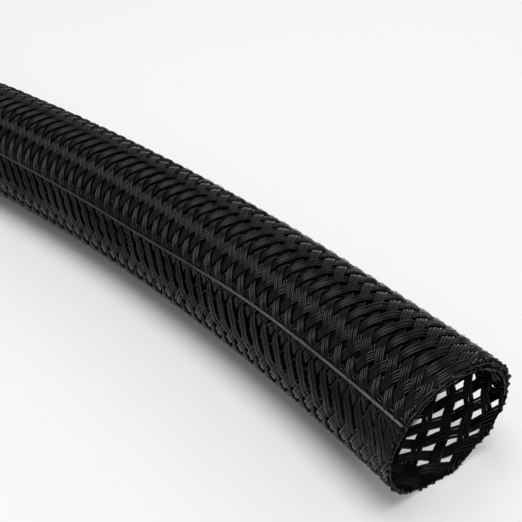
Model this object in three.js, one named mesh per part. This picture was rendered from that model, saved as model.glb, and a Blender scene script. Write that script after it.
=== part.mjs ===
// Braided cable sleeve: one length of split, self-wrapping sleeve with a nominal bore of 25 mm.
// Millimetres, +Z up. The sleeve lies on z = 0 along the X axis, in a gentle bend that bows to the
// back, with the middle of its box over the origin. The end at +X was cut a little askew.
// Round the section, angle 0 is the front side (-Y), 90 is the top, 180 the back and 270 the floor.
import * as THREE from "three";

// Length, measured along the centre line: one foot, as such sleeve is cut and sold.
const LENGTH = 305;

// The wall is one band of braid, two crossing strands thick, rolled up into a spiral.
const EDGE_RADIUS = 12.95;
const WALL = 0.7;
const INWARD_PER_TURN = 0.95;
const WRAP = 495;

// Angle of the outer edge, which wanders down the front side between these two stations.
const EDGE_ANGLE_NEAR = 37.8;
const EDGE_ANGLE_FAR = 31.5;
const WANDER_START = 28;
const WANDER_END = 74;

// Towards the near cut the wall flares a little, most at this angle.
const FLARE = 0.5;
const FLARE_ANGLE = 135;
const FLARE_LENGTH = 30;

// The wall is pressed flat where it lies on the floor.
const FLOOR_ANGLE = 270;
const FLOOR_HALF_ANGLE = 11.25;

// The centre line: where it starts, which way it sets off, and how tightly it bends at each end.
const START_X = 150.2;
const START_Y = -8.63;
const START_HEADING = 163.9;
const BEND_NEAR = 1 / 372;
const BEND_FAR = 1 / 6500;

// The near cut is off square, longer at the back.
const CUT_SKEW = 2.5;

// How finely the solid is faceted.
const STATIONS = 26;
const STEPS_PER_STATION = 40;
const FACET_ANGLE = 11.25;
const FACETS_BEFORE_FLOOR = 19;
const FIXED_FACETS = 40;
const EDGE_FACETS = 2;
const LIP_POINTS = 2;

const radians = THREE.MathUtils.degToRad;

// Radius of the outer face at an angle, which goes on counting past a full turn.
function outerRadius(angle) {
  return EDGE_RADIUS - (INWARD_PER_TURN * (angle - EDGE_ANGLE_NEAR)) / 360;
}

// How far the wall flares at an angle and a distance along the centre line.
function flare(angle, distance) {
  const fading = 1 - THREE.MathUtils.smoothstep(distance, 0, FLARE_LENGTH);
  return FLARE * fading * Math.max(Math.cos(radians(angle - FLARE_ANGLE)), 0);
}

// Angle of the outer edge at a distance along the centre line.
function edgeAngle(distance) {
  const slide = THREE.MathUtils.smoothstep(distance, WANDER_START, WANDER_END);
  return THREE.MathUtils.lerp(EDGE_ANGLE_NEAR, EDGE_ANGLE_FAR, slide);
}

// Height of the centre line that brings the pressed part of the wall down to z = 0.
function centreHeight() {
  return outerRadius(FLOOR_ANGLE + FLOOR_HALF_ANGLE) * Math.cos(radians(FLOOR_HALF_ANGLE));
}

// Direction of the centre line at a distance along it. The bend eases off evenly to the far end.
function heading(distance) {
  const easing = (BEND_FAR - BEND_NEAR) / LENGTH;
  return radians(START_HEADING) + BEND_NEAR * distance + (easing * distance * distance) / 2;
}

// The centre line's stations, each with its place and direction.
function centreLine() {
  const count = STATIONS * STEPS_PER_STATION;
  const step = LENGTH / count;
  const stations = [];
  let x = START_X;
  let y = START_Y;
  for (let i = 0; i <= count; i += 1) {
    const distance = i * step;
    if (i % STEPS_PER_STATION === 0) {
      stations.push({ x, y, distance, heading: heading(distance) });
    }
    const middle = heading(distance + step / 2);
    x += step * Math.cos(middle);
    y += step * Math.sin(middle);
  }
  return stations;
}

// Angles of the wall's corners at one station: fixed ones between, and a few that follow each edge.
function wallAngles(distance) {
  const start = edgeAngle(distance);
  const end = start + WRAP;
  const firstFixed = FLOOR_ANGLE - FACETS_BEFORE_FLOOR * FACET_ANGLE;
  const lastFixed = firstFixed + FIXED_FACETS * FACET_ANGLE;
  const angles = [];
  for (let i = 0; i < EDGE_FACETS; i += 1) {
    angles.push(THREE.MathUtils.lerp(start, firstFixed, i / EDGE_FACETS));
  }
  for (let angle = firstFixed; angle <= lastFixed; angle += FACET_ANGLE) {
    angles.push(angle);
  }
  for (let i = 1; i <= EDGE_FACETS; i += 1) {
    angles.push(THREE.MathUtils.lerp(lastFixed, end, i / EDGE_FACETS));
  }
  return angles;
}

// One corner of the section, across (towards the front) and up from the centre line.
function corner(angle, radius) {
  return new THREE.Vector2(radius * Math.cos(radians(angle)), radius * Math.sin(radians(angle)));
}

// The rounded lip at an edge of the band, from its face at the first radius to the one at the second.
function lip(angle, outward, fromRadius, toRadius) {
  const points = [];
  const middle = (fromRadius + toRadius) / 2;
  const half = (fromRadius - toRadius) / 2;
  for (let i = 1; i <= LIP_POINTS; i += 1) {
    const turn = (Math.PI * i) / (LIP_POINTS + 1);
    const reach = (Math.abs(half) * Math.sin(turn)) / middle;
    const at = angle + outward * THREE.MathUtils.radToDeg(reach);
    points.push(corner(at, middle + half * Math.cos(turn)));
  }
  return points;
}

// The spiral section at one station, anticlockwise: along the outer face, back along the inner one.
function section(distance) {
  const angles = wallAngles(distance);
  const height = centreHeight();
  const radius = (angle) => outerRadius(angle) + flare(angle, distance);
  const floor = (point, inset) => {
    point.y = Math.max(point.y, inset - height);
    return point;
  };
  const outer = angles.map((angle) => floor(corner(angle, radius(angle)), 0));
  const inner = angles.map((angle) => floor(corner(angle, radius(angle) - WALL), WALL));
  const first = angles[0];
  const last = angles[angles.length - 1];
  const endLip = lip(last, 1, radius(last), radius(last) - WALL);
  const startLip = lip(first, -1, radius(first) - WALL, radius(first));
  return [...outer, ...endLip, ...inner.reverse(), ...startLip];
}

// A section placed at its station. The skew leans the near cut back along the centre line.
function placed(points, station, skew) {
  const along = new THREE.Vector3(Math.cos(station.heading), Math.sin(station.heading), 0);
  const across = new THREE.Vector3(-along.y, along.x, 0);
  return points.map((point) =>
    new THREE.Vector3(station.x, station.y, centreHeight() + point.y)
      .addScaledVector(across, point.x)
      .addScaledVector(along, point.x * Math.tan(radians(skew))),
  );
}

// One closed solid from a row of equal rings, with a flat cap at each end.
function loft(rings, cap) {
  const count = rings[0].length;
  const positions = rings.flat().flatMap((point) => point.toArray());
  const indices = [];
  for (let ring = 0; ring < rings.length - 1; ring += 1) {
    for (let i = 0; i < count; i += 1) {
      const here = ring * count + i;
      const beside = ring * count + ((i + 1) % count);
      indices.push(here, beside, here + count);
      indices.push(beside, beside + count, here + count);
    }
  }
  const far = (rings.length - 1) * count;
  cap(0).forEach(([a, b, c]) => indices.push(a, c, b));
  cap(rings.length - 1).forEach(([a, b, c]) => indices.push(far + a, far + b, far + c));
  const geometry = new THREE.BufferGeometry();
  geometry.setAttribute("position", new THREE.Float32BufferAttribute(positions, 3));
  geometry.setIndex(indices);
  geometry.computeVertexNormals();
  return geometry;
}

function sleeveGeometry() {
  const stations = centreLine();
  const sections = stations.map((station) => section(station.distance));
  const rings = stations.map((station, i) => placed(sections[i], station, i === 0 ? CUT_SKEW : 0));
  return loft(rings, (i) => THREE.ShapeUtils.triangulateShape(sections[i], []));
}

const blackPolyester = new THREE.MeshStandardMaterial({
  color: 0x1b1c1f,
  roughness: 0.5,
  metalness: 0,
  name: "black polyester braid",
});

const sleeve = new THREE.Group();
const braidedSleeve = new THREE.Mesh(sleeveGeometry(), blackPolyester);
braidedSleeve.name = "braided_sleeve";
sleeve.add(braidedSleeve);

export default sleeve;
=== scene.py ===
"""Braided cable sleeve, laid out as a Blender add-on and run as a script.

The construction holds the sleeve as a plain spiral wall. Here that wall is replaced by the braid
itself: strands of side-by-side filaments that cross over and under each other, turn back at the
band's two long edges, and are cut off at both ends. Sizes are in metres, in the frame's own axes.

Two coordinates lie on the band. Rows run along the sleeve, one row to each half pitch, and columns
run across the band from its outer edge to its inner one. Crossings lie where both are whole and
their sum is even. Round the sleeve, angle 0 is the front (-Y), 90 the top, 180 the back.
"""

import math
import random

import bmesh
import bpy
from bpy.props import FloatProperty, FloatVectorProperty, IntProperty, PointerProperty
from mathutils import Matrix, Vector


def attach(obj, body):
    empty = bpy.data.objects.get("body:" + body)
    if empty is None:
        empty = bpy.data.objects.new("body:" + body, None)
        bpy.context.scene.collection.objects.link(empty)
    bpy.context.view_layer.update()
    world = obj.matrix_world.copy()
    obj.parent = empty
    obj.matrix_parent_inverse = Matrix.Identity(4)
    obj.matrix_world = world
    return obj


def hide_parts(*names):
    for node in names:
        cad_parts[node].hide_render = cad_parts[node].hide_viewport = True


bl_info = {
    "name": "Braided cable sleeve",
    "version": (1, 0, 0),
    "blender": (4, 5, 0),
    "location": "3D View > Sidebar > Sleeve",
    "description": "Braids a split cable sleeve around its construction solid",
    "category": "Object",
}

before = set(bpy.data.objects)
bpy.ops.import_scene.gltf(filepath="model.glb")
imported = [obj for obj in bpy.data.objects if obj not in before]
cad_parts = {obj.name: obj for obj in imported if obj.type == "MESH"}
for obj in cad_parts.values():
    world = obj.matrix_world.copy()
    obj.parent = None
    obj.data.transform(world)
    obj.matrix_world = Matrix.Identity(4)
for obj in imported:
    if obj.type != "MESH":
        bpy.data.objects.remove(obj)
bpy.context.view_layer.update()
MM = 0.001


def in_mm(*pairs):
    """A table of places and values, with the values given in millimetres."""
    return tuple((at, value * MM) for at, value in pairs)


# The construction's own sizes: the band's spiral, its centre line and its cuts.
NODE = "braided_sleeve"
LENGTH = 305 * MM
EDGE_RADIUS = 12.95 * MM
WALL = 0.7 * MM
INWARD_PER_TURN = 0.95 * MM
EDGE_ANGLE_NEAR = 37.8
EDGE_ANGLE_FAR = 31.5
WANDER_START = 28 * MM
WANDER_END = 74 * MM
WRAP = 495
FLARE = 0.5 * MM
FLARE_ANGLE = 135
FLARE_LENGTH = 30 * MM
FLOOR_ANGLE = 270
FLOOR_HALF_ANGLE = 11.25
START = (150.2 * MM, -8.63 * MM)
START_HEADING = 163.9
BEND_NEAR = 1 / (372 * MM)
BEND_FAR = 1 / (6500 * MM)
CUT_SKEW = 2.5

# The braid's lattice: the angles of its columns, by column, and the ones that keep their angle while
# the edges wander. Over two pairs of neighbouring columns a strand floats over both.
COLUMNS = 36
COLUMN_ANGLES = (
    (-3, 1.2), (0, 40.0), (6, 117.7), (21, 336.7), (22, 350.0), (23, 366.0), (24, 380.0), (25, 392.0),
    (29, 441.7), (30, 457.0), (31, 474.0), (32, 489.0), (33, 503.0), (36, 538.0))
FIXED_COLUMNS = (1, 33)
FLOATS = (3, 23)
FIRST_ROW = -14
ROWS_TO_TURN = COLUMNS + 1

# The rows run a little askew round the sleeve: how far along row 0 lies, by angle.
ROW_OFFSETS = in_mm(
    (-20, -1.9), (35, 0.2), (66, 1.37), (100, 2.65), (180, 4.18), (270, 5.91), (340, 5.75),
    (373, 5.54), (400, 7.96), (426, 7.86), (442, 8.61), (457, 9.38), (475, 10.26), (540, 12.2))

# How far the rows are drawn to the near cut in all, by angle: bunched above, spread at the back.
ROW_SLACKS = in_mm(
    (-20, 2.6), (35, 3.18), (120, 3.18), (185, -1.08), (300, -1.08), (345, 2.0), (373, 2.0),
    (400, 3.18), (426, 1.2), (540, 1.2))
EASE_ROWS = 5.2

# The columns at the back lean round the sleeve near the cut: by how much along, and where round it.
TWISTS = ((-10 * MM, -11.0), (12 * MM, 10.0), (80 * MM, 0.0), (400 * MM, 0.0))
TWISTED_SIDE = ((-20, 0.0), (118, 0.0), (176, 1.0), (278, 1.0), (337, 0.0), (540, 0.0))

# Between two crossings a strand changes sides over this part of the way.
WEAVE_FROM = 0.18
WEAVE_TO = 0.82

# How wide a strand is, in its usual width, by angle: at the back the filaments lie wider apart.
WIDTHS = (
    (-20, 1.0), (90, 1.0), (118, 1.2), (300, 1.2), (340, 1.1), (400, 1.1), (430, 1.22), (540, 1.22))

# At the near cut the strands are splayed: a little over the first length, and more at the very end.
SPLAYS = ((0.15, 8 * MM), (0.35, 1 * MM))

# The braid's small unevenness runs along it in waves: how far each turns with a row, in radians, and
# how much the relief swells.
DRIFT_TURN = 0.37
SWAY_TURNS = (0.61, 0.17)
RELIEF_TURN = 0.83
RELIEF_SWELL = 0.16

# How uneven the near cut is, by angle, and how far back single strands end.
NEAR_CUT = in_mm(
    (-20, 0.0), (150, 0.0), (172, 0.3), (182, 0.1), (192, 0.1), (201, 0.45), (208, 0.1), (215, 0.1),
    (228, 0.5), (238, 0.4), (250, 0.1), (258, 0.05), (270, 0.25), (280, 0.4), (295, 0.3), (320, 0.0),
    (540, 0.0))
STRAND_RAGGED = 0.15 * MM

# How far in from each cut the hot knife has fused the strands into a film, by angle, how much that
# varies, and how far the film stands out.
NEAR_FILM = in_mm(
    (-20, 0.5), (140, 0.5), (175, 1.2), (195, 0.4), (215, 0.5), (232, 1.3), (250, 0.9), (264, 1.9),
    (275, 4.2), (281, 7.4), (300, 8.0), (330, 2.0), (360, 0.5), (540, 0.5))
FAR_FILM = in_mm((-20, 0.6), (540, 0.9))
FILM_DEPTHS = (0.7, 1.2)
FILM_RAGGED = 0.2 * MM

# The filament along each long edge: its piece's name, its column, and how far it is raised.
EDGES = (("outer_edge", -0.62, 0.22 * MM), ("inner_edge", COLUMNS - 0.38, 0.0))

# How finely a filament is stepped, how many corners its section has, and how points are merged.
STEPS_PER_ROW = 3
SPARE_ROWS = 16
SECTION_CORNERS = 5
EDGE_STEPS_PER_ROW = 2
EDGE_FIRST_ROW = -2
EDGE_CORNERS = 8
MIN_APART = 0.5 * MM
WELD = 0.002 * MM
PIECES = 6
FILM_STEPS = 220
FILM_ROWS = 4

# The polyester's surface: its cloudiness and grain, and how much each does.
CLOUD_SCALE = 260.0
CLOUD_SHARE = 0.7
GRAIN_SCALE = 2600.0
GRAIN_SHARE = 0.3
GRAIN_ROUGHNESS = 0.15
GRAIN_DEPTH = 0.02 * MM
BUMP_STRENGTH = 0.25
SPECULAR_LEVEL = 0.23
FILAMENT_ROUGHNESS = 0.17
EDGE_ROUGHNESS = 0.6
FILM_ROUGHNESS = 0.3

# The edge filament's painted highlight fades between these two places along X, down to this share.
HIGHLIGHT_FADE_FROM = 94 * MM
HIGHLIGHT_FADE_TO = 120 * MM
HIGHLIGHT_FADE_SHARE = 0.3

# Each lamp's width and place. The narrow one is aimed at the bottom of the bore just inside the near
# cut, and its width is an angle in degrees.
OVERHEAD_LAMP = (0.6, (0.12, -0.1, 0.9))
BACK_LAMP = (0.3, (0.0, 0.5, 0.42))
SIDE_LAMP = (0.4, (-0.45, -0.4, 0.55))
MOUTH_LAMP = (2.5, (0.262, -0.313, 0.375))
MOUTH_LAMP_RADIUS = 5 * MM
BORE_BOTTOM = (144.9 * MM, -3.1 * MM, 1.0 * MM)
SENSOR_WIDTH = 36


def smoothstep(value, low, high):
    t = min(max((value - low) / (high - low), 0.0), 1.0)
    return t * t * (3 - 2 * t)


def lerp(a, b, t):
    return a + (b - a) * t


def looked_up(table, at):
    """The value between the table's places, in a straight line from one to the next."""
    for (low, first), (high, second) in zip(table, table[1:]):
        if at <= high:
            break
    return lerp(first, second, (at - low) / (high - low))


class CentreLine:
    """The sleeve's centre line, stepped finely so that any distance along it can be looked up."""

    STEP = 0.5 * MM
    SPARE = 10 * MM

    def __init__(self):
        self.points = [(START[0], START[1])]
        steps = int((LENGTH + self.SPARE) / self.STEP)
        for i in range(steps):
            middle = self.heading((i + 0.5) * self.STEP)
            x, y = self.points[-1]
            self.points.append((x + self.STEP * math.cos(middle), y + self.STEP * math.sin(middle)))

    @staticmethod
    def heading(distance):
        distance = min(max(distance, 0.0), LENGTH)
        easing = (BEND_FAR - BEND_NEAR) / LENGTH
        return math.radians(START_HEADING) + BEND_NEAR * distance + easing * distance ** 2 / 2

    def at(self, distance):
        """The point at a distance, and the sideways direction towards the front."""
        index = min(max(int(distance / self.STEP), 0), len(self.points) - 2)
        t = distance / self.STEP - index
        (x0, y0), (x1, y1) = self.points[index], self.points[index + 1]
        turn = self.heading(distance)
        return lerp(x0, x1, t), lerp(y0, y1, t), -math.sin(turn), math.cos(turn)


def outer_radius(angle, distance=LENGTH):
    """Radius of the wall's outer face, with the flare that it has towards the near cut."""
    fading = 1 - smoothstep(distance, 0, FLARE_LENGTH)
    flare = FLARE * fading * max(math.cos(math.radians(angle - FLARE_ANGLE)), 0)
    return EDGE_RADIUS - INWARD_PER_TURN * (angle - EDGE_ANGLE_NEAR) / 360 + flare


CENTRE_HEIGHT = outer_radius(FLOOR_ANGLE + FLOOR_HALF_ANGLE) * math.cos(math.radians(FLOOR_HALF_ANGLE))


def edge_angle(distance):
    return lerp(EDGE_ANGLE_NEAR, EDGE_ANGLE_FAR, smoothstep(distance, WANDER_START, WANDER_END))


def column_angle(column, distance):
    """Angle of a column. The ones next to each edge spread or close up as the edge wanders."""
    first, last = FIXED_COLUMNS
    if column < first:
        t = (column + 0.5) / (first + 0.5)
        return lerp(edge_angle(distance), looked_up(COLUMN_ANGLES, first), t)
    if column > last:
        t = (column - last) / (COLUMNS - 0.5 - last)
        return lerp(looked_up(COLUMN_ANGLES, last), edge_angle(distance) + WRAP, t)
    angle = looked_up(COLUMN_ANGLES, column)
    return angle + looked_up(TWISTS, distance) * looked_up(TWISTED_SIDE, angle)


def splay(distance, angle):
    """How many times its usual width a strand is."""
    near_cut = sum(extra * math.exp(-max(distance, 0) / reach) for extra, reach in SPLAYS)
    return looked_up(WIDTHS, angle) + near_cut


class Band:
    """Places points of the band in space."""

    def __init__(self, sizes):
        self.line = CentreLine()
        self.row = sizes.pitch / 2

    def last_row(self):
        """A row that lies past the far cut at every column."""
        return int(LENGTH / self.row) + SPARE_ROWS

    def distance(self, row, column):
        """Distance along the centre line of a row, where it meets a column."""
        angle = looked_up(COLUMN_ANGLES, column)
        drawn = row / EASE_ROWS if row < 0 else 1 - math.exp(-row / EASE_ROWS)
        return looked_up(ROW_OFFSETS, angle) + row * self.row - looked_up(ROW_SLACKS, angle) * drawn

    def flat(self, row, column):
        """Where a row and column lie on the band when it is unrolled."""
        distance = self.distance(row, column)
        return Vector((distance, math.radians(column_angle(column, distance)) * EDGE_RADIUS))

    def point(self, row, column, rise):
        """The point of the band at a row and column, raised from its middle surface, and its splay."""
        distance = self.distance(row, column)
        angle = column_angle(column, distance)
        return *self.place(distance, angle, rise), splay(distance, angle)

    def place(self, distance, angle, rise):
        """The point of the band at a distance along and an angle round, raised in the same way."""
        turn = math.radians(angle)
        radius = outer_radius(angle, distance) - WALL / 2
        x, y, across_x, across_y = self.line.at(distance)
        side = (radius + rise) * math.cos(turn)
        height = max(radius * math.sin(turn), WALL / 2 - CENTRE_HEIGHT) + rise * math.sin(turn)
        return (x + across_x * side, y + across_y * side, CENTRE_HEIGHT + height)

    def cut(self, row, column):
        """How far past the near cut a point lies."""
        distance = self.distance(row, column)
        return distance - near_cut(column_angle(column, distance))


def near_cut(angle):
    """Where the near cut runs: a little off square, and a little uneven."""
    side = outer_radius(angle) * math.cos(math.radians(angle))
    return side * math.tan(math.radians(CUT_SKEW)) + looked_up(NEAR_CUT, angle)


def over(column):
    """1 where the strands that climb over the top lie outside at a column, -1 where the others do."""
    swaps = sum(1 for place in FLOATS if column > place)
    return -1 if (column + swaps) % 2 else 1


def weave(column):
    """The same between columns, flat on the crossings and steep between them."""
    low = math.floor(column)
    t = smoothstep(column - low, WEAVE_FROM, WEAVE_TO)
    return lerp(over(low), over(low + 1), t)


class Strand:
    """One strand of filaments, which crosses the band to and fro as it runs along it."""

    def __init__(self, number, sizes, band, chance):
        self.first_row = 2 * number
        self.sizes = sizes
        self.band = band
        self.wander = [chance.uniform(0, math.tau) for _ in range(sizes.filaments)]
        self.sway = [chance.uniform(0, math.tau) for _ in SWAY_TURNS]
        self.swell = chance.uniform(0, math.tau)
        self.ragged = chance.uniform(0.0, STRAND_RAGGED)
        self.side_rows = {}

    def phase(self, row):
        """How many rows past its first the strand is, in its way across the band and back."""
        return (row - self.first_row) % (2 * ROWS_TO_TURN)

    def sideways(self, row):
        """How many rows make up one spacing to the side of the strand, along the sleeve."""
        if row not in self.side_rows:
            low, column, high = (self.column(row + ahead) for ahead in (-0.5, 0, 0.5))
            strand = self.band.flat(row + 0.5, high) - self.band.flat(row - 0.5, low)
            step = self.band.flat(row + 0.5, column) - self.band.flat(row - 0.5, column)
            apart = max(abs(step.cross(strand)) / strand.length, MIN_APART)
            distance = self.band.distance(row, column)
            spacing = self.sizes.spacing * splay(distance, column_angle(column, distance))
            self.side_rows[row] = spacing / apart
        return self.side_rows[row]

    def beside(self, filament, row):
        """How many rows a filament lies to the side of its strand's middle."""
        middle = (self.sizes.filaments - 1) / 2
        drift = self.sizes.drift * math.sin(row * DRIFT_TURN + self.wander[filament])
        sway = self.sizes.sway
        for turn, start in zip(SWAY_TURNS, self.sway):
            sway *= math.sin(row * turn + start)
        return (filament - middle + drift + sway) * self.sideways(row)

    def column(self, row):
        """Column of the strand's middle at a row."""
        phase = self.phase(row)
        return abs(phase - 1) - 1 if phase < ROWS_TO_TURN + 1 else 2 * ROWS_TO_TURN - phase

    def place(self, filament, row, shift):
        """Column of a filament at a row, and how far it is raised."""
        phase = self.phase(row)
        to_outer = min(abs(phase - 1), abs(phase - 1 - 2 * ROWS_TO_TURN))
        to_inner = abs(phase - 1 - ROWS_TO_TURN)
        if to_outer < to_inner:
            reach = 1 - shift
            column = to_outer - reach
            if to_outer < reach:
                column = -reach * (1 - (to_outer / reach) ** 2) / 2
        else:
            reach = 1 + shift
            column = COLUMNS + shift - to_inner
            if to_inner < reach:
                column = COLUMNS - 1 + reach * (1 - (to_inner / reach) ** 2) / 2
        climbing = self.climbing(phase)
        lift = self.sizes.lift * (filament % 2 - 0.5)
        relief = self.sizes.relief * (1 + RELIEF_SWELL * math.sin(row * RELIEF_TURN + self.swell))
        return column, climbing * weave(column - shift / 2) * relief + lift

    @staticmethod
    def climbing(phase):
        """1 on the way from the outer edge to the inner one, -1 on the way back, eased at the turns."""
        half = ROWS_TO_TURN
        at_outer = (phase - 1 + half) % (2 * half) - half
        if abs(at_outer) < 1:
            return math.sin(at_outer * math.pi / 2)
        if abs(phase - 1 - half) < 1:
            return -math.sin((phase - 1 - half) * math.pi / 2)
        return 1 if 0 < at_outer else -1

    def past_cut(self, row, column):
        """How far inside the two cuts a point lies."""
        near = self.band.cut(row, column) - self.ragged
        return min(near, LENGTH - self.ragged - self.band.distance(row, column))

    def run(self, filament):
        """The runs of points of one filament between the two cuts."""
        runs, points = [], []
        before = None
        for step in range(FIRST_ROW * STEPS_PER_ROW, self.band.last_row() * STEPS_PER_ROW):
            row = step / STEPS_PER_ROW
            shift = self.beside(filament, row)
            row -= self.climbing(self.phase(row)) * shift / 2
            column, rise = self.place(filament, row, shift)
            here = (row, column, rise)
            inside = self.past_cut(row, column)
            if before and inside * before[1] < 0:
                t = before[1] / (before[1] - inside)
                points.append(self.band.point(*(lerp(a, b, t) for a, b in zip(before[0], here))))
            if inside > 0:
                points.append(self.band.point(*here))
            elif points:
                runs.append(points)
                points = []
            before = (here, inside)
        if points:
            runs.append(points)
        return [run for run in runs if len(run) > 1]


def section_profile(radius, corners):
    """The section that a filament is drawn with, as a closed curve for the bevel."""
    data = bpy.data.curves.new("filament section", "CURVE")
    spline = data.splines.new("POLY")
    spline.points.add(corners - 1)
    for i, point in enumerate(spline.points):
        turn = math.tau * i / corners
        point.co = (radius * math.cos(turn), radius * math.sin(turn), 0, 1)
    spline.use_cyclic_u = True
    return bpy.data.objects.new("filament section", data)


def filament_mesh(name, runs, diameter, corners):
    """A mesh of round filaments along runs of points, each closed at its cut ends."""
    data = bpy.data.curves.new(name, "CURVE")
    data.dimensions = "3D"
    profile = section_profile(diameter / 2, corners)
    data.bevel_mode = "OBJECT"
    data.bevel_object = profile
    data.use_fill_caps = True
    for run in runs:
        spline = data.splines.new("POLY")
        spline.points.add(len(run) - 1)
        spline.points.foreach_set("co", [value for x, y, z, _ in run for value in (x, y, z, 1.0)])
        spline.points.foreach_set("radius", [swelling for *_, swelling in run])
        spline.use_smooth = True
    curve = bpy.data.objects.new(name + " route", data)
    for thing in (curve, profile):
        bpy.context.scene.collection.objects.link(thing)
    graph = bpy.context.evaluated_depsgraph_get()
    mesh = bpy.data.meshes.new_from_object(curve.evaluated_get(graph))
    for thing in (curve, profile):
        bpy.data.objects.remove(thing)
    shell = bmesh.new()
    shell.from_mesh(mesh)
    bmesh.ops.remove_doubles(shell, verts=shell.verts, dist=WELD)
    shell.to_mesh(mesh)
    shell.free()
    return mesh


def add_piece(name, mesh, material):
    """A finished piece, which rides with the sleeve and stands for its plain wall."""
    mesh.name = name
    mesh.materials.clear()
    mesh.materials.append(material)
    piece = bpy.data.objects.new(name, mesh)
    bpy.context.scene.collection.objects.link(piece)
    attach(piece, "root")
    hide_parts(NODE)


class Wire:
    """A shader socket that takes part in sums: each sum adds its Math node."""

    def __init__(self, nodes, socket):
        self.nodes = nodes
        self.socket = socket

    def maths(self, operation, first, second):
        return self.nodes.add("ShaderNodeMath", {"operation": operation}, {0: first, 1: second}).out()

    def __add__(self, other):
        return self.maths("ADD", self, other)

    def __sub__(self, other):
        return self.maths("SUBTRACT", self, other)

    def __rsub__(self, other):
        return self.maths("SUBTRACT", other, self)

    def __mul__(self, other):
        return self.maths("MULTIPLY", self, other)

    __radd__ = __add__
    __rmul__ = __mul__


class Node:
    """A node just added, whose outputs come out as wires."""

    def __init__(self, nodes, node):
        self.nodes = nodes
        self.node = node

    def out(self, name=0):
        return Wire(self.nodes, self.node.outputs[name])


class Nodes:
    """A material's node tree, with one method that adds any node."""

    def __init__(self, material):
        material.use_nodes = True
        self.tree = material.node_tree
        self.tree.nodes.clear()

    def add(self, kind, settings=None, inputs=None):
        node = self.tree.nodes.new(kind)
        for key, value in (settings or {}).items():
            setattr(node, key, value)
        for key, value in (inputs or {}).items():
            if isinstance(value, Wire):
                self.tree.links.new(value.socket, node.inputs[key])
            else:
                node.inputs[key].default_value = value
        return Node(self, node)

    def surface(self, shader):
        self.add("ShaderNodeOutputMaterial", None, {"Surface": shader})


def noise(nodes, place, scale, detail):
    inputs = {"Vector": place, "Scale": scale, "Detail": detail}
    return nodes.add("ShaderNodeTexNoise", None, inputs).out("Fac")


def polyester(name, colour, light_colour, roughness, dims=False):
    """Drawn polyester filament: satin, with a faint cloudiness and a fine grain.

    Where it dims, the first colour, a painted highlight, gives way to the second away from the near end.
    """
    material = bpy.data.materials.new(name)
    nodes = Nodes(material)
    place = nodes.add("ShaderNodeTexCoord").out("Object")
    cloud = noise(nodes, place, CLOUD_SCALE, 3.0)
    grain = noise(nodes, place, GRAIN_SCALE, 2.0)
    blend = cloud * CLOUD_SHARE + grain * GRAIN_SHARE
    # On the edge filament this fades the painted highlight away from the near end.
    if dims:
        blend = 1 - (1 - blend) * painted_highlight_fading(nodes, place)
    shade = nodes.add(
        "ShaderNodeMix",
        {"data_type": "RGBA"},
        {"Factor": blend, "A": (*colour, 1.0), "B": (*light_colour, 1.0)},
    ).out("Result")
    bump = nodes.add(
        "ShaderNodeBump", None, {"Strength": BUMP_STRENGTH, "Distance": GRAIN_DEPTH, "Height": grain}
    ).out("Normal")
    shader = nodes.add(
        "ShaderNodeBsdfPrincipled",
        None,
        {
            "Base Color": shade,
            "Roughness": roughness + (grain - 0.5) * GRAIN_ROUGHNESS,
            "Specular IOR Level": SPECULAR_LEVEL,
            "Normal": bump,
        },
    ).out("BSDF")
    nodes.surface(shader)
    return material


def painted_highlight_fading(nodes, place):
    """The share of the painted highlight that stays: all of it by the near end, and less farther off."""
    along = nodes.add("ShaderNodeSeparateXYZ", None, {"Vector": place}).out("X")
    return nodes.add(
        "ShaderNodeMapRange",
        {"interpolation_type": "SMOOTHSTEP"},
        {"Value": along, "From Min": HIGHLIGHT_FADE_FROM, "From Max": HIGHLIGHT_FADE_TO, "To Min": HIGHLIGHT_FADE_SHARE, "To Max": 1.0},
    ).out("Result")


class BraidSettings(bpy.types.PropertyGroup):
    """Sizes and colours of the braid."""

    filament_diameter: FloatProperty(
        name="Filament thickness", description="Thickness of one filament",
        default=0.392 * MM, unit="LENGTH", precision=5)
    spacing: FloatProperty(
        name="Filament spacing", description="From the middle of one filament of a strand to the next",
        default=0.348 * MM, unit="LENGTH", precision=5)
    drift: FloatProperty(
        name="Filament drift", description="How far a filament strays in its strand, in spacings",
        default=0.04)
    sway: FloatProperty(
        name="Strand sway", description="How far a strand strays from its line, in spacings", default=0.3)
    lift: FloatProperty(
        name="Filament lift", description="How far every second filament of a strand lies above the others",
        default=0.08 * MM, unit="LENGTH", precision=5)
    filaments: IntProperty(
        name="Filaments to a strand", description="How many filaments lie side by side in a strand",
        default=4)
    pitch: FloatProperty(
        name="Pitch", description="Distance along the sleeve between crossings of one column",
        default=3.0264 * MM, unit="LENGTH", precision=5)
    relief: FloatProperty(
        name="Relief", description="How far a strand is raised or lowered where it crosses another",
        default=0.26 * MM, unit="LENGTH", precision=5)
    edge_diameter: FloatProperty(
        name="Edge filament thickness", description="Thickness of the filament along each long edge",
        default=0.42 * MM, unit="LENGTH", precision=5)
    film_thickness: FloatProperty(
        name="Fused film thickness", description="Thickness of the fused film at each cut end",
        default=0.12 * MM, unit="LENGTH", precision=5)
    colour: FloatVectorProperty(
        name="Filament colour", description="Darkest shade of the filaments", subtype="COLOR",
        default=(0.002, 0.002, 0.0021))
    light_colour: FloatVectorProperty(
        name="Filament light shade", description="Lightest shade of the filaments", subtype="COLOR",
        default=(0.0055, 0.0055, 0.0058))
    # The edge filaments' lighter shade is a painted highlight: it stands in for the light that the outer
    # edge catches.
    edge_painted_highlight: FloatVectorProperty(
        name="Edge filament colour", description="Shade of the filament along each edge", subtype="COLOR",
        default=(0.17, 0.17, 0.174))


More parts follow.
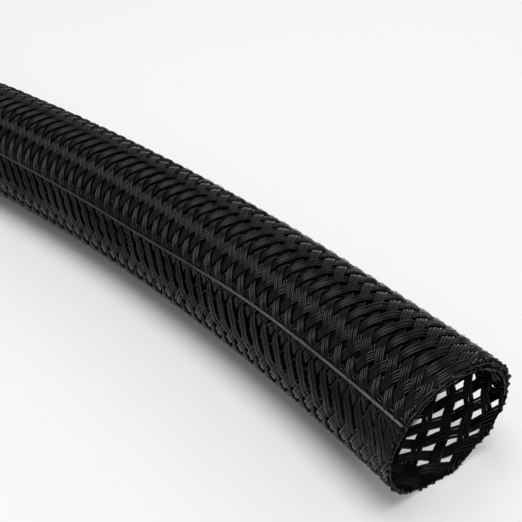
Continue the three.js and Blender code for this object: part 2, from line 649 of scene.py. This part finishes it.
class StageSettings(bpy.types.PropertyGroup):
    """Floor, lights and camera."""

    floor_size: FloatProperty(
        name="Floor size", description="Side of the pale floor", default=6.0, unit="LENGTH")
    floor_colour: FloatVectorProperty(
        name="Floor colour", description="Colour of the floor", subtype="COLOR",
        default=(0.93, 0.93, 0.94))
    surround: FloatProperty(
        name="Surrounding light", description="Strength of the even light from all round", default=0.4)
    overhead: FloatProperty(
        name="Overhead light", description="Power of the large lamp overhead, in watts", default=5.2)
    side: FloatProperty(
        name="Side light", description="Power of the lamp at the camera's left, in watts", default=0.2)
    back: FloatProperty(
        name="Back light", description="Power of the lamp behind the sleeve, in watts", default=0.35)
    mouth: FloatProperty(
        name="Mouth light", description="Power of the narrow lamp that shines into the open end, in watts",
        default=7.0)
    focal_length: FloatProperty(
        name="Focal length", description="Lens of the camera, in millimetres", default=53.98)
    distance: FloatProperty(
        name="Camera distance", description="From the camera to the point it looks at",
        default=152.67 * MM, unit="LENGTH", precision=5)
    elevation: FloatProperty(
        name="Camera elevation", description="How steeply the camera looks down",
        default=math.radians(36.716), subtype="ANGLE")
    bearing: FloatProperty(
        name="Camera bearing", description="Direction that the camera looks in, from +X towards +Y",
        default=math.radians(128.06), subtype="ANGLE")
    aim: FloatVectorProperty(
        name="Camera aim", description="The point that the camera looks at", subtype="TRANSLATION",
        default=(101.32 * MM, 7.76 * MM, 12.25 * MM))


class SLEEVE_OT_strands(bpy.types.Operator):
    """Braid the strands"""

    bl_idname = "sleeve.strands"
    bl_label = "Braided strands"

    def execute(self, context):
        sizes = context.scene.sleeve_braid
        band = Band(sizes)
        material = polyester("black polyester", sizes.colour, sizes.light_colour, FILAMENT_ROUGHNESS)
        strands = [Strand(number, sizes, band, random.Random(number)) for number in range(ROWS_TO_TURN)]
        for i in range(PIECES):
            group = strands[i::PIECES]
            runs = [run for strand in group for k in range(sizes.filaments) for run in strand.run(k)]
            if not runs:
                raise RuntimeError("a group of strands has no filament between the cuts")
            name = f"strands_{i + 1}"
            mesh = filament_mesh(name, runs, sizes.filament_diameter, SECTION_CORNERS)
            add_piece(name, mesh, material)
        return {"FINISHED"}


class SLEEVE_OT_edges(bpy.types.Operator):
    """Lay the filament along each long edge"""

    bl_idname = "sleeve.edges"
    bl_label = "Edge filaments"

    def execute(self, context):
        sizes = context.scene.sleeve_braid
        band = Band(sizes)
        # The edge material carries a painted highlight, which fades away from the near end.
        material = polyester(
            "edge filament", sizes.edge_painted_highlight, sizes.light_colour, EDGE_ROUGHNESS, dims=True)
        for name, column, rise in EDGES:
            run = self.run_along(band, column, rise)
            if not run:
                raise RuntimeError("an edge filament has no length between the cuts")
            add_piece(name, filament_mesh(name, [run], sizes.edge_diameter, EDGE_CORNERS), material)
        return {"FINISHED"}

    @staticmethod
    def run_along(band, column, rise):
        """The points of a filament that keeps to one column, at its full thickness."""
        first, last = EDGE_FIRST_ROW * EDGE_STEPS_PER_ROW, band.last_row() * EDGE_STEPS_PER_ROW
        rows = [step / EDGE_STEPS_PER_ROW for step in range(first, last)]
        return [(*band.point(row, column, rise)[:3], 1.0) for row in rows
                if band.cut(row, column) > 0 and band.distance(row, column) < LENGTH]


class SLEEVE_OT_cut_ends(bpy.types.Operator):
    """Fuse the strands into a film at each cut end"""

    bl_idname = "sleeve.cut_ends"
    bl_label = "Fused cut ends"

    def execute(self, context):
        sizes = context.scene.sleeve_braid
        band = Band(sizes)
        material = polyester("fused ends", sizes.colour, sizes.light_colour, FILM_ROUGHNESS)
        for name, far in (("near_end", False), ("far_end", True)):
            mesh = self.film(name, band, sizes.film_thickness, far)
            add_piece(name, mesh, material)
        return {"FINISHED"}

    def film(self, name, band, thickness, far):
        """The film at one cut: rows of points from the cut inwards, joined and given a thickness."""
        chance = random.Random(name)
        shape = bmesh.new()
        lines = [self.line_in(shape, band, step, chance, far, thickness) for step in range(FILM_STEPS + 1)]
        for line, beside in zip(lines, lines[1:]):
            for i in range(FILM_ROWS - 1):
                shape.faces.new((line[i], line[i + 1], beside[i + 1], beside[i]))
        bmesh.ops.recalc_face_normals(shape, faces=shape.faces)
        bmesh.ops.solidify(shape, geom=shape.faces[:], thickness=thickness)
        mesh = bpy.data.meshes.new(name)
        shape.to_mesh(mesh)
        shape.free()
        return mesh

    @staticmethod
    def line_in(shape, band, step, chance, far, thickness):
        """The film's points from the cut inwards at one step round the band."""
        inwards = -1 if far else 1
        angle = edge_angle(LENGTH if far else 0) + WRAP * step / FILM_STEPS
        depth = looked_up(FAR_FILM if far else NEAR_FILM, angle) * chance.uniform(*FILM_DEPTHS)
        start = LENGTH if far else near_cut(angle)
        start -= inwards * chance.uniform(0.0, FILM_RAGGED)
        distances = [start + inwards * depth * i / (FILM_ROWS - 1) for i in range(FILM_ROWS)]
        return [shape.verts.new(band.place(distance, angle, -thickness / 2)) for distance in distances]


def floor_material(colour):
    material = bpy.data.materials.new("pale floor")
    nodes = Nodes(material)
    place = nodes.add("ShaderNodeTexCoord").out("Object")
    haze = noise(nodes, place, 3.0, 1.0)
    shader = nodes.add(
        "ShaderNodeBsdfPrincipled",
        None,
        {"Base Color": (*colour, 1.0), "Roughness": 0.6 + haze * 0.1, "Specular IOR Level": 0.2},
    ).out("BSDF")
    nodes.surface(shader)
    return material


def add_light(kind, name, power, place, target):
    """A lamp that points at its target."""
    data = bpy.data.lights.new(name, kind)
    data.energy = power
    lamp = bpy.data.objects.new(name, data)
    lamp.location = place
    lamp.rotation_euler = (Vector(target) - Vector(place)).to_track_quat("-Z", "Y").to_euler()
    bpy.context.scene.collection.objects.link(lamp)
    return lamp


def add_disk(name, power, lamp, target):
    """A round, soft lamp."""
    width, place = lamp
    data = add_light("AREA", name, power, place, target).data
    data.shape = "DISK"
    data.size = width


def add_spot(name, power, lamp, target):
    """A narrow lamp that leaves no glints."""
    angle, place = lamp
    spot = add_light("SPOT", name, power, place, target)
    spot.data.spot_size = math.radians(angle)
    spot.data.spot_blend = 1.0
    spot.data.shadow_soft_size = MOUTH_LAMP_RADIUS
    spot.visible_glossy = False


class SLEEVE_OT_stage(bpy.types.Operator):
    """Set the floor, the lights and the camera"""

    bl_idname = "sleeve.stage"
    bl_label = "Stage"

    def execute(self, context):
        stage = context.scene.sleeve_stage
        self.floor(stage)
        self.light(context.scene, stage)
        self.camera(context.scene, stage)
        return {"FINISHED"}

    @staticmethod
    def floor(stage):
        shape = bmesh.new()
        bmesh.ops.create_grid(shape, x_segments=1, y_segments=1, size=stage.floor_size / 2)
        mesh = bpy.data.meshes.new("floor")
        shape.to_mesh(mesh)
        shape.free()
        mesh.materials.append(floor_material(stage.floor_colour))
        floor = bpy.data.objects.new("floor", mesh)
        bpy.context.scene.collection.objects.link(floor)

    @staticmethod
    def light(scene, stage):
        scene.view_settings.view_transform = "Standard"
        world = bpy.data.worlds.new("surroundings")
        world.use_nodes = True
        background = world.node_tree.nodes["Background"]
        background.inputs["Color"].default_value = (1.0, 1.0, 1.0, 1.0)
        background.inputs["Strength"].default_value = stage.surround
        scene.world = world
        add_disk("overhead", stage.overhead, OVERHEAD_LAMP, stage.aim)
        add_disk("back", stage.back, BACK_LAMP, stage.aim)
        add_disk("side", stage.side, SIDE_LAMP, stage.aim)
        add_spot("mouth", stage.mouth, MOUTH_LAMP, BORE_BOTTOM)

    @staticmethod
    def camera(scene, stage):
        data = bpy.data.cameras.new("camera")
        data.lens = stage.focal_length
        data.sensor_width = SENSOR_WIDTH
        data.clip_start = 10 * MM
        camera = bpy.data.objects.new("camera", data)
        level = math.cos(stage.elevation)
        looking = Vector((level * math.cos(stage.bearing), level * math.sin(stage.bearing),
                          -math.sin(stage.elevation)))
        camera.location = Vector(stage.aim) - looking * stage.distance
        camera.rotation_euler = looking.to_track_quat("-Z", "Y").to_euler()
        scene.collection.objects.link(camera)
        scene.camera = camera


class SLEEVE_PT_panel(bpy.types.Panel):
    """The sleeve's settings and steps"""

    bl_idname = "SLEEVE_PT_panel"
    bl_label = "Braided sleeve"
    bl_space_type = "VIEW_3D"
    bl_region_type = "UI"
    bl_category = "Sleeve"

    def draw(self, context):
        for settings in (context.scene.sleeve_braid, context.scene.sleeve_stage):
            box = self.layout.box()
            for name in settings.__annotations__:
                box.prop(settings, name)
        for step in STEPS:
            self.layout.operator(step.bl_idname)


STEPS = (SLEEVE_OT_strands, SLEEVE_OT_edges, SLEEVE_OT_cut_ends, SLEEVE_OT_stage)
CLASSES = (BraidSettings, StageSettings, *STEPS, SLEEVE_PT_panel)


def register():
    for item in CLASSES:
        bpy.utils.register_class(item)
    bpy.types.Scene.sleeve_braid = PointerProperty(type=BraidSettings)
    bpy.types.Scene.sleeve_stage = PointerProperty(type=StageSettings)


def unregister():
    del bpy.types.Scene.sleeve_stage
    del bpy.types.Scene.sleeve_braid
    for item in reversed(CLASSES):
        bpy.utils.unregister_class(item)


def main():
    register()
    bpy.ops.sleeve.strands()
    bpy.ops.sleeve.edges()
    bpy.ops.sleeve.cut_ends()
    bpy.ops.sleeve.stage()


if __name__ == "__main__":
    main()
